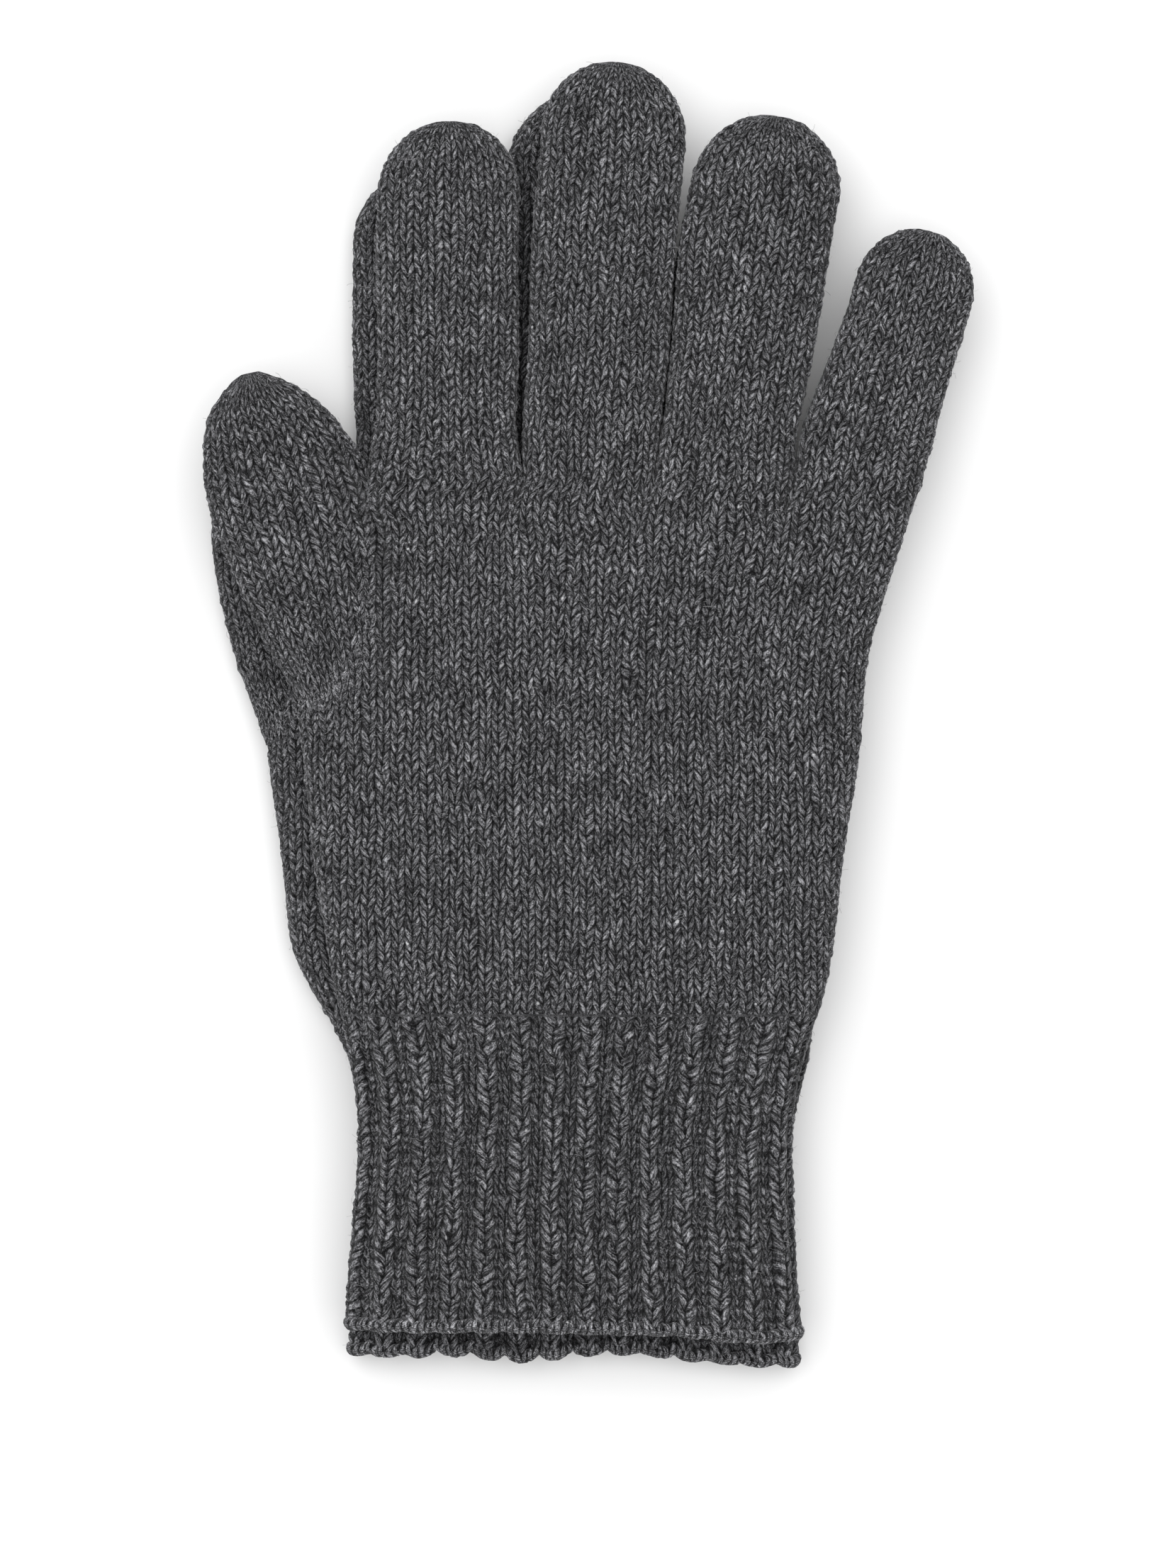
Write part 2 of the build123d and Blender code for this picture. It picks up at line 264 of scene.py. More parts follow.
class Glove:
    """One glove: where it lies, which way its palm faces and how fine its mesh is."""

    def __init__(self, name, columns, sizes):
        self.name = name
        self.columns = columns
        self.rows = columns // 2
        self.sizes = sizes
        self.up = 1 if name == "top" else -1
        low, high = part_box(f"{name}_hand")
        self.wrist = JOINTS[f"{name}_wrist_fold"]
        self.middle = (low.z + high.z) / 2 / MM
        self.depth = sizes.depth / MM
        self.corner = sizes.fold / MM
        self.course = sizes.course / MM
        self.step = self.course / self.rows
        self.thumb = THUMB if name == "top" else UNDER_THUMB
        self.fingers = FINGERS if name == "top" else UNDER_FINGERS

    def sway(self, y):
        """Sideways lie of the hand over its cuff."""
        return 0.0 * y if self.name == "top" else folds(UNDER_SWAY, y)

    def creases(self, x, y, lift):
        """Depth of the creases up the palm and beside the thumb."""
        place, width, depth = PALM_CREASE
        palm = depth * np.exp(-((x - place - 0.02 * y) / width) ** 2) * ease(y, 4, 16) * (1 - ease(y, 40, 58))
        heights, sides = zip(*[(up, middle + half * math.cos(math.radians(lean)))
                               for middle, up, half, lean in self.thumb])
        width, depth = THUMB_CREASE
        thumb = depth * np.exp(-((x - np.interp(y, heights, sides)) / width) ** 2)
        thumb = thumb * ease(y, 58, 66) * (1 - ease(y, 104, 109))
        return palm * (lift > 0.5) + thumb * ease(lift, 0.2, 0.8)

    def place(self, points):
        """Ring points as metres in the frame, with the fabric's soft unevenness."""
        points = points.copy()
        x, y = points[..., 0], points[..., 1]
        lift = points[..., 2] / self.depth
        start = 0.0 if self.name == "top" else 2.1
        swell = sum(share * np.sin(x / across + y / along + phase + start)
                    for share, across, along, phase in SWELLS) / SWELL_PEAK
        # the underside is pressed flatter than the upper side
        points[..., 2] += self.sizes.ripple / MM * swell * np.clip(lift, -0.35, 1)
        if self.name == "top":
            points[..., 2] -= self.creases(x, y, lift)
        waver = 0.25 * np.sin(y / 6.1 + start) * (1 - np.abs(np.clip(lift, -1, 1)))
        points[..., 0] += self.sway(y) + waver
        points[..., 2] += self.middle
        points *= MM
        points[..., 0] += self.wrist.x
        points[..., 1] += self.wrist.y
        return points

    def finger_ring(self, name, distance, width, depth, path):
        """One ring of a finger at a distance along its spine."""
        places, leans, run = path
        centre = [np.interp(distance, run, places[:, 0]), np.interp(distance, run, places[:, 1])]
        lean = np.interp(distance, run, leans) * ease(distance, 0, 12)
        left, right, _, _, _, half_mid, half_end = self.fingers[name]
        share = distance / run[-1]
        half = np.interp(share, [0, 0.15, 0.6], [(right - left) / 2, half_mid, half_end])
        fractions = np.linspace(0, 1, FINGER_WALES[name] * self.columns + 1)
        corner = self.corner * (0.75 + 0.45 * ease(share, 0, 0.3))
        across, up = roll(fractions, half * width, self.depth * depth, corner * max(width, 0.2))
        return loop(centre, lean, across, up, 0.0)

    def finger_path(self, name):
        """Spine of a finger, from the middle of its root to its end."""
        left, right, end, first, last, _, _ = self.fingers[name]
        return spine(((left + right) / 2, ROOT_COURSE * self.course), end, first, last)


# ---------------- meshes

def outward(rings):
    """Unit normals of a closed tube of rings, pointing out of it."""
    around = np.roll(rings, -1, 1) - np.roll(rings, 1, 1)
    along = np.gradient(rings, axis=0)
    normal = np.cross(around, along)
    return normal / np.maximum(np.linalg.norm(normal, axis=2, keepdims=True), 1e-12)


def strayed(rings, share, size, seed):
    """How far each stitch strays, with the first column repeated after the last."""
    values = share * chance(rings[..., 0] / MM, rings[..., 1] / MM, size, seed)
    return np.concatenate([values, values[:, :1]], 1)


def lids(rows, columns):
    """Faces that close the first and the last ring, rung by rung from one fold to the other."""
    front = np.arange(columns // 2)
    back = (-front) % columns
    faces = []
    for base, turned in ((0, False), ((rows - 1) * columns, True)):
        lid = np.stack([base + front, base + back, base + (back - 1) % columns, base + front + 1], 1)
        faces += (lid[:, ::-1] if turned else lid).tolist()
    # the first and last rung of a lid meet on the fold itself, so they are triangles
    faces = [tuple(dict.fromkeys(face)) for face in faces]
    return [face for face in faces if len(face) > 2]


def filled_mesh(name, points, quads, faces, corner_values):
    """A smooth mesh of quads and other faces, with UV maps given on the corners of the quads."""
    mesh = bpy.data.meshes.new(name)
    corners = np.concatenate([quads.ravel(), np.array([corner for face in faces for corner in face], int)])
    sizes = np.concatenate([np.full(len(quads), 4), np.array([len(face) for face in faces], int)]).astype(int)
    starts = np.concatenate([[0], np.cumsum(sizes)[:-1]])
    mesh.vertices.add(len(points))
    mesh.vertices.foreach_set("co", points.astype(np.float32).ravel())
    mesh.loops.add(len(corners))
    mesh.loops.foreach_set("vertex_index", corners.astype(np.int32))
    mesh.polygons.add(len(sizes))
    mesh.polygons.foreach_set("loop_start", starts.astype(np.int32))
    for label, values in corner_values.items():
        spare = np.full((len(corners) - len(values), 2), 0.01)
        layer = mesh.uv_layers.new(name=label)
        layer.data.foreach_set("uv", np.concatenate([values, spare]).astype(np.float32).ravel())
    mesh.update(calc_edges=True)
    mesh.polygons.foreach_set("use_smooth", np.ones(len(sizes), bool))
    return mesh


def knitted_mesh(name, rings, wales, courses, relief, ribs=None, ribbing=None, torus=False, beyond=None):
    """A closed mesh over rings, with what the stitch pattern needs stored on it.

    wales has one more column than the rings, so that the pattern closes at the left fold, or
    beyond holds the wale at the far side of every column.
    """
    rows, columns = rings.shape[:2]
    slip, slide = strayed(rings, *SLIP), strayed(rings, *SLIDE)
    beyond = (wales[:, 1:] if beyond is None else beyond) + slip[:, 1:]
    wales = wales[:, :columns] + slip[:, :-1]
    courses = courses + slide
    normal = outward(rings)
    row, column = np.meshgrid(np.arange(rows if torus else rows - 1), np.arange(columns), indexing="ij")
    row, column = row.ravel(), column.ravel()
    ahead = (row + 1) % rows
    beside = (column + 1) % columns
    quads = np.stack([row * columns + column, row * columns + beside,
                      ahead * columns + beside, ahead * columns + column], 1)
    stitch = np.stack([wales[row, column], courses[row, column],
                       beyond[row, column], courses[row, column + 1],
                       beyond[ahead, column], courses[ahead, column + 1],
                       wales[ahead, column], courses[ahead, column]], 1).reshape(-1, 4, 2)
    u0, u1 = column / columns, (column + 1) / columns
    v0, v1 = row / rows, (row + 1) / rows
    margin = 0.02
    bake = np.stack([u0, v0, u1, v0, u1, v1, u0, v1], 1).reshape(-1, 4, 2) * (1 - 2 * margin) + margin
    faces = [] if torus else lids(rows, columns)
    points = rings.reshape(-1, 3)
    probe = points[quads]
    volume = sum(np.einsum("ij,ij->i", probe[:, 0], np.cross(probe[:, i], probe[:, i + 1])).sum()
                 for i in (1, 2))
    flipped = volume < 0
    if flipped:
        quads, stitch, bake = quads[:, ::-1], stitch[:, ::-1], bake[:, ::-1]
        faces = [face[::-1] for face in faces]
    # normals agree with the faces
    facing = np.cross(probe[:, 1] - probe[:, 0], probe[:, 3] - probe[:, 0]) * (-1 if flipped else 1)
    if np.einsum("ij,ij->", facing, normal.reshape(-1, 3)[row * columns + column]) < 0:
        normal = -normal
    mesh = filled_mesh(name, points, quads, faces,
                       {"OFBake": bake.reshape(-1, 2), "Stitch": stitch.reshape(-1, 2)})
    # stitches stand out less where the fabric turns over a side fold
    floats = {"wale": wales, "course": courses[:, :-1],
              "relief": relief * (0.5 + 0.5 * ease(np.abs(normal[..., 2]), 0.0, 0.6)),
              "rib": np.zeros_like(relief) if ribs is None else ribs,
              "ribbing": np.zeros_like(relief) if ribbing is None else ribbing}
    for label, values in floats.items():
        store = mesh.attributes.new(label, "FLOAT", "POINT")
        store.data.foreach_set("value", values.astype(np.float32).ravel())
    store = mesh.attributes.new("outward", "FLOAT_VECTOR", "POINT")
    store.data.foreach_set("vector", normal.astype(np.float32).ravel())
    mesh.validate()
    piece = bpy.data.objects.new(name, mesh)
    bpy.context.scene.collection.objects.link(piece)
    return piece


# ---------------- node trees

MATH = "ShaderNodeMath"


def add(tree, kind, sources=None, **settings):
    """Adds a node with its settings, and links or sets its inputs."""
    node = tree.nodes.new(kind)
    for key, value in settings.items():
        setattr(node, key, value)
    for key, value in (sources or {}).items():
        if isinstance(value, bpy.types.Node):
            value = next(socket for socket in value.outputs if socket.enabled)
        if isinstance(value, bpy.types.NodeSocket):
            tree.links.new(value, node.inputs[key])
        else:
            node.inputs[key].default_value = value
    return node


def hex_colour(text):
    """A hex colour as linear red, green, blue and alpha."""
    values = [int(text[i:i + 2], 16) / 255 for i in (1, 3, 5)]
    return tuple(v / 12.92 if v <= 0.04045 else ((v + 0.055) / 1.055) ** 2.4 for v in values) + (1.0,)


def stitch_leg(tree, wale, course):
    """Where a point lies in its stitch: across the wale, along the leg and across it, and the leg's swells."""
    across = add(tree, MATH, {0: wale}, operation="FRACT")
    across = add(tree, MATH, {0: across, 1: 0.5}, operation="SUBTRACT")
    leg = add(tree, MATH, {0: across}, operation="ABSOLUTE")
    leg = add(tree, MATH, {0: leg, 1: 2.0}, operation="MULTIPLY")
    phase = add(tree, MATH, {0: course, 1: leg}, operation="SUBTRACT")
    inside = add(tree, MATH, {0: phase}, operation="FRACT")
    swell = [add(tree, MATH, {0: value, 1: math.pi}, operation="MULTIPLY")
             for value in (inside, leg)]
    swell = [add(tree, MATH, {0: value}, operation="SINE") for value in swell]
    return across, leg, phase, swell


def rib_wave(tree, rib):
    """A wave that is 1 on the crest of every rib and -1 in the valley between two."""
    for operation, value in (("SUBTRACT", KNIT_SHARE / 2), ("MULTIPLY", 2 * math.pi), ("COSINE", 0.0)):
        rib = add(tree, MATH, {0: rib, 1: value}, operation=operation)
    return rib


def wool(name, colours, painted_light_gain):
    """Heathered wool, spun soft and knitted: matt, with dark and light fibres along each stitch leg."""
    material = bpy.data.materials.new(name)
    material.use_nodes = True
    tree = material.node_tree
    tree.nodes.clear()
    stitch = add(tree, "ShaderNodeUVMap", uv_map="Stitch")
    place = add(tree, "ShaderNodeTexCoord").outputs["Object"]
    parts = add(tree, "ShaderNodeSeparateXYZ", {0: stitch})
    wale, course = parts.outputs[0], parts.outputs[1]
    column = add(tree, MATH, {0: wale}, operation="FLOOR")
    across, leg, phase, swell = stitch_leg(tree, wale, course)
    side = add(tree, MATH, {0: across}, operation="SIGN")
    # each stitch leg was spun with more or less of the pale fibre
    one = add(tree, MATH, {0: phase}, operation="FLOOR")
    one = add(tree, "ShaderNodeCombineXYZ", {0: column, 1: one, 2: side})
    own = add(tree, "ShaderNodeTexWhiteNoise", {"Vector": one}, noise_dimensions="3D")
    own = add(tree, "ShaderNodeMapRange", {0: own.outputs["Value"], 3: 0.77, 4: 1.23})
    # fibres run along the leg in strands 0.9 mm long and 0.24 mm wide, with finer ones inside them
    strand = add(tree, MATH, {0: column, 1: 3.7, 2: side}, operation="MULTIPLY_ADD")
    fibre_place = add(tree, "ShaderNodeCombineXYZ", {
        0: add(tree, MATH, {0: leg, 1: 2.6}, operation="MULTIPLY"),
        1: add(tree, MATH, {0: phase, 1: 4.6}, operation="MULTIPLY"),
        2: add(tree, MATH, {0: strand, 1: 5.3}, operation="MULTIPLY")})
    fibres = add(tree, "ShaderNodeTexNoise", {
        "Vector": fibre_place, "Scale": 1.0, "Detail": 3.0, "Roughness": 0.62, "Distortion": 0.5})
    # loose fibres that cross the stitches, in tufts of 0.6 mm, and patches of 4 mm
    haze = add(tree, "ShaderNodeTexNoise", {
        "Vector": place, "Scale": 1.7 / MM, "Detail": 4.0, "Roughness": 0.65, "Distortion": 1.6})
    mottle = add(tree, "ShaderNodeTexNoise", {"Vector": place, "Scale": 0.24 / MM, "Detail": 3.0})
    mixed = add(tree, MATH, {
        0: add(tree, MATH, {0: fibres.outputs[0], 1: 0.50}, operation="MULTIPLY"),
        1: add(tree, MATH, {0: haze.outputs[0], 1: 0.50}, operation="MULTIPLY")}, operation="ADD")
    tone = add(tree, "ShaderNodeValToRGB", {0: mixed})
    ramp = tone.color_ramp
    ramp.elements[0].position, ramp.elements[0].color = 0.38, hex_colour(colours.shadow)
    ramp.elements[1].position, ramp.elements[1].color = 0.61, hex_colour(colours.light)
    ramp.elements.new(0.48).color = hex_colour(colours.body)
    # pale flecks, one here and there: the rare peaks of a noise with cells of 1.1 mm
    fleck_noise = add(tree, "ShaderNodeTexNoise", {"Vector": place, "Scale": 0.9 / MM, "Detail": 0.0})
    fleck = add(tree, "ShaderNodeMapRange", {0: fleck_noise.outputs[0], 1: 0.82, 2: 0.86})
    flecked = add(tree, "ShaderNodeMix", {0: fleck, 6: tone.outputs[0], 7: hex_colour(colours.fleck)},
                  data_type="RGBA")
    # painted shade: the base colour is darkened in the grooves between stitch legs, where little light
    # reaches, and kept lighter on the leg crowns
    crown = add(tree, MATH, {0: swell[0], 1: swell[1]}, operation="MULTIPLY")
    # the gain lifts the crowns; above 1.0 it is painted highlight
    painted_groove_shade = add(tree, "ShaderNodeMapRange", {0: crown, 1: 0.0, 2: 0.62, 3: 0.05, 4: 0.9 * painted_light_gain})
    patchy = add(tree, "ShaderNodeMapRange", {0: mottle.outputs[0], 1: 0.32, 2: 0.68, 3: 0.77, 4: 1.2})
    shade = add(tree, MATH, {0: painted_groove_shade, 1: patchy}, operation="MULTIPLY")
    shade = add(tree, MATH, {0: shade, 1: own}, operation="MULTIPLY")
    # little light reaches the wool in the valleys between ribs
    rib = add(tree, "ShaderNodeAttribute", attribute_name="rib").outputs["Fac"]
    ribbing = add(tree, "ShaderNodeAttribute", attribute_name="ribbing").outputs["Fac"]
    valley = add(tree, "ShaderNodeMapRange", {0: rib_wave(tree, rib), 1: -1.0, 2: -0.3, 3: 0.62, 4: 0.0})
    valley = add(tree, MATH, {0: valley, 1: ribbing}, operation="MULTIPLY")
    valley = add(tree, MATH, {0: 1.0, 1: valley}, operation="SUBTRACT")
    shade = add(tree, MATH, {0: shade, 1: valley}, operation="MULTIPLY")
    colour = add(tree, "ShaderNodeVectorMath", {0: flecked.outputs[2], 3: shade}, operation="SCALE")
    bump = add(tree, "ShaderNodeBump", {"Height": mixed, "Strength": 0.75, "Distance": 0.0006})
    shader = add(tree, "ShaderNodeBsdfPrincipled", {
        "Base Color": colour, "Normal": bump, "Roughness": 0.93, "IOR": 1.5,
        "Specular IOR Level": 0.10, "Sheen Weight": 0.12, "Sheen Roughness": 0.45})
    add(tree, "ShaderNodeOutputMaterial", {"Surface": shader})
    return material


def stray_wool(colours):
    """Single wool fibres that have worked loose: paler than the fabric because they catch the light."""
    material = bpy.data.materials.new("stray_wool_fibre")
    material.use_nodes = True
    tree = material.node_tree
    tree.nodes.clear()
    place = add(tree, "ShaderNodeTexCoord").outputs["Object"]
    noise = add(tree, "ShaderNodeTexNoise", {"Vector": place, "Scale": 0.26 / MM, "Detail": 1.0})
    tone = add(tree, "ShaderNodeValToRGB", {0: noise})
    ramp = tone.color_ramp
    ramp.elements[0].position, ramp.elements[0].color = 0.40, hex_colour(colours.body)
    ramp.elements[1].position, ramp.elements[1].color = 0.62, hex_colour(colours.fleck)
    shader = add(tree, "ShaderNodeBsdfPrincipled", {
        "Base Color": tone.outputs[0], "Roughness": 0.8, "Specular IOR Level": 0.3})
    add(tree, "ShaderNodeOutputMaterial", {"Surface": shader})
    return material


def stitch_tree():
    """Raises stitch legs and ribs out of a smooth tube, and scatters stray fibres over it."""
    tree = bpy.data.node_groups.new("Knit Fabric", "GeometryNodeTree")
    sockets = {"Geometry": "Geometry", "Stitch Relief": "Float", "Rib Relief": "Float",
               "Fibre Density": "Float", "Fibre Length": "Float", "Seed": "Int",
               "Fabric": "Material", "Fibre": "Material"}
    for label, kind in sockets.items():
        tree.interface.new_socket(label, in_out="INPUT", socket_type=f"NodeSocket{kind}")
    tree.interface.new_socket("Geometry", in_out="OUTPUT", socket_type="NodeSocketGeometry")
    given = tree.nodes.new("NodeGroupInput").outputs
    read = {}
    for label in ("wale", "course", "relief", "rib", "ribbing"):
        read[label] = add(tree, "GeometryNodeInputNamedAttribute", {"Name": label}, data_type="FLOAT")
    normal = add(tree, "GeometryNodeInputNamedAttribute", {"Name": "outward"}, data_type="FLOAT_VECTOR")
    # stitch legs: a slanting row of rounded strands on each side of every wale
    *_, swell = stitch_leg(tree, read["wale"], read["course"])
    swell = [add(tree, MATH, {0: value}, operation="ABSOLUTE") for value in swell]
    swell = [add(tree, MATH, {0: value, 1: power}, operation="POWER")
             for value, power in zip(swell, (0.6, 0.55))]
    strand = add(tree, MATH, {0: swell[0], 1: swell[1]}, operation="MULTIPLY")
    # a little unevenness from stitch to stitch
    uneven = add(tree, "ShaderNodeTexNoise", {
        "Vector": add(tree, "GeometryNodeInputPosition"), "Scale": 0.42 / MM, "Detail": 2.0})
    uneven = add(tree, "ShaderNodeMapRange", {0: uneven, 1: 0.3, 2: 0.7, 3: 0.55, 4: 1.3})
    strand = add(tree, MATH, {0: strand, 1: uneven}, operation="MULTIPLY")
    strand = add(tree, MATH, {0: strand, 1: 0.35}, operation="SUBTRACT")
    strand = add(tree, MATH, {0: strand, 1: given["Stitch Relief"]}, operation="MULTIPLY")
    # ribs: broad crests with a narrow sunken valley between them
    crest = add(tree, MATH, {0: rib_wave(tree, read["rib"]), 1: 0.5, 2: 0.5}, operation="MULTIPLY_ADD")
    crest = add(tree, MATH, {0: crest, 1: 0.45}, operation="POWER")
    valley = add(tree, MATH, {0: crest, 1: 1.0}, operation="SUBTRACT")
    valley = add(tree, MATH, {0: valley, 1: read["ribbing"]}, operation="MULTIPLY")
    valley = add(tree, MATH, {0: valley, 1: given["Rib Relief"]}, operation="MULTIPLY")
    height = add(tree, MATH, {0: strand, 1: valley}, operation="ADD")
    height = add(tree, MATH, {0: height, 1: read["relief"]}, operation="MULTIPLY")
    offset = add(tree, "ShaderNodeVectorMath", {0: normal, 3: height}, operation="SCALE")
    raised = add(tree, "GeometryNodeSetPosition", {"Geometry": given["Geometry"], "Offset": offset})
    fabric = add(tree, "GeometryNodeSetMaterial", {"Geometry": raised, "Material": given["Fabric"]})
    # stray fibres: bent hairs of three sides, about a metre long until they are scaled
    spots = add(tree, "GeometryNodeDistributePointsOnFaces", {
        "Mesh": raised, "Density": given["Fibre Density"], "Seed": given["Seed"],
        "Selection": add(tree, "FunctionNodeCompare", {0: read["relief"], 1: 0.6}, data_type="FLOAT",
                         operation="GREATER_THAN")})
    hair = add(tree, "GeometryNodeCurveQuadraticBezier", {
        "Resolution": 3, "Start": (0, 0, -0.12), "Middle": (0.3, 0.12, 0.42), "End": (1, -0.1, 0.12)})
    round_hair = add(tree, "GeometryNodeCurvePrimitiveCircle", {"Resolution": 3, "Radius": 0.012})
    hair = add(tree, "GeometryNodeCurveToMesh", {
        "Curve": hair, "Profile Curve": round_hair, "Fill Caps": True})
    spin = add(tree, "FunctionNodeRandomValue", {
        "Min": (-0.35, -0.35, 0.0), "Max": (0.35, 0.35, 2 * math.pi), "Seed": given["Seed"]},
        data_type="FLOAT_VECTOR")
    spin = add(tree, "FunctionNodeEulerToRotation", {0: spin})
    turned = add(tree, "FunctionNodeRotateRotation", {
        "Rotation": spots.outputs["Rotation"], "Rotate By": spin}, rotation_space="LOCAL")
    sizes = add(tree, "FunctionNodeRandomValue", {2: 0.45, 3: 1.7, "Seed": given["Seed"]}, data_type="FLOAT")
    scale = add(tree, MATH, {0: sizes.outputs[1], 1: given["Fibre Length"]}, operation="MULTIPLY")
    hairs = add(tree, "GeometryNodeInstanceOnPoints", {
        "Points": spots.outputs["Points"], "Instance": hair, "Rotation": turned, "Scale": scale})
    hairs = add(tree, "GeometryNodeRealizeInstances", {"Geometry": hairs})
    hairs = add(tree, "GeometryNodeSetMaterial", {"Geometry": hairs, "Material": given["Fibre"]})
    both = add(tree, "GeometryNodeJoinGeometry")
    tree.links.new(hairs.outputs[0], both.inputs[0])
    tree.links.new(fabric.outputs[0], both.inputs[0])
    add(tree, "NodeGroupOutput", {0: both})
    return tree


# the wool material for each slot, and a gain on its stitch colour: the cast-on edge's 1.3 is painted
# highlight, a lighter copy of the same wool for the light caught along the rolled edge
WOOL_AND_PAINTED_LIGHT = {
    "charcoal_knit": ("heathered_wool_plain_knit", 1.0),
    "charcoal_rib": ("heathered_wool_rib_knit", 1.0),
    "cast_on_edge": ("heathered_wool_cast_on_edge", 1.3),
}


def shared(kind, name, make):
    """The material or node tree of that name, made the first time that it is asked for."""
    return getattr(bpy.data, kind).get(name) or make()


def knit(piece, slot, nodes, fibres=1.0, painted_highlight_copy=None):
    """Runs the knit tree on a smooth tube and keeps the result as a plain mesh."""
    scene = bpy.context.scene
    sizes, loose = scene.knit_sizes, scene.fibre_sizes
    tree = shared("node_groups", "Knit Fabric", stitch_tree)
    colours = scene.wool_colours
    name, painted_light_gain = WOOL_AND_PAINTED_LIGHT[painted_highlight_copy or slot]
    fabric = shared("materials", name, lambda: wool(name, colours, painted_light_gain))
    stray = shared("materials", "stray_wool_fibre", lambda: stray_wool(colours))
    modifier = piece.modifiers.new("Knit", "NODES")
    modifier.node_group = tree
    values = {"Stitch Relief": sizes.stitch, "Rib Relief": sizes.rib, "Fibre Density": loose.density * fibres,
              "Fibre Length": loose.length, "Seed": loose.seed + len(piece.name),
              "Fabric": fabric, "Fibre": stray}
    for item in tree.interface.items_tree:
        if item.in_out == "INPUT" and item.name in values:
            modifier[item.identifier] = values[item.name]
    bpy.context.view_layer.update()
    graph = bpy.context.evaluated_depsgraph_get()
    mesh = bpy.data.meshes.new_from_object(piece.evaluated_get(graph), preserve_all_data_layers=True,
                                           depsgraph=graph)
    piece.modifiers.clear()
    piece.data = mesh
    mesh.name = piece.name
    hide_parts(*nodes)
    return piece


def both_gloves():
    """The two gloves, the under one first."""
    scene = bpy.context.scene
    return [Glove("under", scene.knit_sizes.under_columns, scene.knit_sizes),
            Glove("top", scene.knit_sizes.top_columns, scene.knit_sizes)]


def course_rows(rings, first_course, rows):
    """Course numbers over a tube, with the first column repeated after the last."""
    height, width = rings.shape[:2]
    return np.tile((first_course + np.arange(height) / rows)[:, None], (1, width + 1))


# ---------------- pieces

def two_sides(wale):
    """Wales at the near and far side of every column round a ring, from those across its front."""
    return np.concatenate([wale[:-1], wale[:0:-1] + 0.5]), np.concatenate([wale[1:], wale[-2::-1] + 0.5])


def upright(run):
    """Wales round a ring, from how far each column lies across it."""
    return two_sides(run / WALE + MIDDLE_WALE)


def finger_wales(glove, name, offset):
    """Wales round a finger's ring, numbered from the offset at its left fold."""
    return two_sides(offset + np.arange(FINGER_WALES[name] * glove.columns + 1) / glove.columns)


def hand_rings(glove):
    """Rings of the hand, from above the wrist to where the fingers divide, and its wales."""
    first = int(round(9 / glove.step))
    last = ROOT_COURSE * glove.rows
    fingers = [glove.finger_ring(name, 0.0, 1.0, 1.0, glove.finger_path(name)) for name in FINGER_WALES]
    halves = [len(ring) // 2 for ring in fingers]
    over = [ring[:half] for ring, half in zip(fingers, halves)]
    over = np.concatenate(over + [fingers[-1][halves[-1]][None]])
    beneath = [np.concatenate([ring[half:], ring[:1]]) for ring, half in zip(fingers, halves)]
    under = np.concatenate([piece[:-1] for piece in beneath[::-1]])
    divided = np.concatenate([over, under[1:]])
    even = np.linspace(0, 1, HAND_WALES * glove.columns + 1)
    leftmost, rightmost = glove.fingers["index"][0], glove.fingers["little"][1]
    marks = [0.0] + [(glove.fingers[name][1] - leftmost) / (rightmost - leftmost) for name in FINGER_WALES]
    edges = np.cumsum([0] + list(FINGER_WALES.values()))
    spread = np.interp(even, edges / HAND_WALES, marks)
    starts = edges[:-1] * glove.columns
    rings, runs = [], []
    for row in range(first, last + 1):
        y = row * glove.step
        left, right = folds(LEFT_FOLD, y), folds(RIGHT_FOLD, y)
        share = ease(y, 97, ROOT_COURSE * glove.course)
        left += (leftmost - left) * share
        right += (rightmost - right) * share
        upper = ease(y, 25, 90)
        fractions = even * (1 - upper) + spread * upper
        middle = (left + right) / 2
        across, up = roll(fractions, (right - left) / 2, glove.depth, glove.corner)
        ring = loop((middle, y), 0.0, across, up, 0.0)
        part = ease(y, 84, ROOT_COURSE * glove.course) ** 1.6
        shaped = divided.copy()
        shaped[:, 0] = left + (divided[:, 0] - leftmost) * (right - left) / (rightmost - leftmost)
        shaped[:, 1] = y
        rings.append(ring * (1 - part) + shaped * part)
        # the wales stay upright while the side folds run out and in, except beside the little finger
        run = run_along(across, up)
        run += middle - run[-1] / 2
        swing = folds(RIGHT_FOLD, 62) - right
        run = run + np.where(run > -5, swing * (run + 5) / (right + 10), 0) * ease(y, 55, 66)
        runs.append(run)
    # near the roots every finger's own wales take over, lined up on the middle of the finger
    near, far = np.array([upright(run) for run in runs]).transpose(1, 0, 2)
    offsets = {}
    taking = ease(np.arange(first, last + 1) * glove.step, 90, ROOT_COURSE * glove.course)[:, None]
    for name, start in zip(FINGER_WALES, starts):
        count = FINGER_WALES[name] * glove.columns
        offsets[name] = runs[-1][start + count // 2] / WALE + MIDDLE_WALE - FINGER_WALES[name] / 2
        own = finger_wales(glove, name, offsets[name])
        total = len(even) - 1
        for sides, values in ((near, own[0]), (far, own[1])):
            for place, part in ((start, values[:count]), (2 * total - start - count, values[count:])):
                span = slice(place, place + count)
                sides[:, span] += (part[None] - sides[:, span]) * taking
    return np.array(rings), near, far, first / glove.rows, offsets


def make_hand(glove):
    """The palm and back of a glove, in two pieces that meet half way up."""
    rings, near, far, start, _ = hand_rings(glove)
    rings = glove.place(rings)
    courses = course_rows(rings, start, glove.rows)
    relief = np.ones(rings.shape[:2])
    body = f"{glove.name}_hand"
    middle = len(rings) // 2
    parts = {"palm_heel": slice(0, middle + 1), "palm_upper": slice(middle, None)}
    for label, rows in parts.items():
        piece = knitted_mesh(f"{glove.name}_{label}", rings[rows], near[rows], courses[rows], relief[rows],
                             beyond=far[rows])
        knit(piece, "charcoal_knit", [body])
        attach(piece, body)


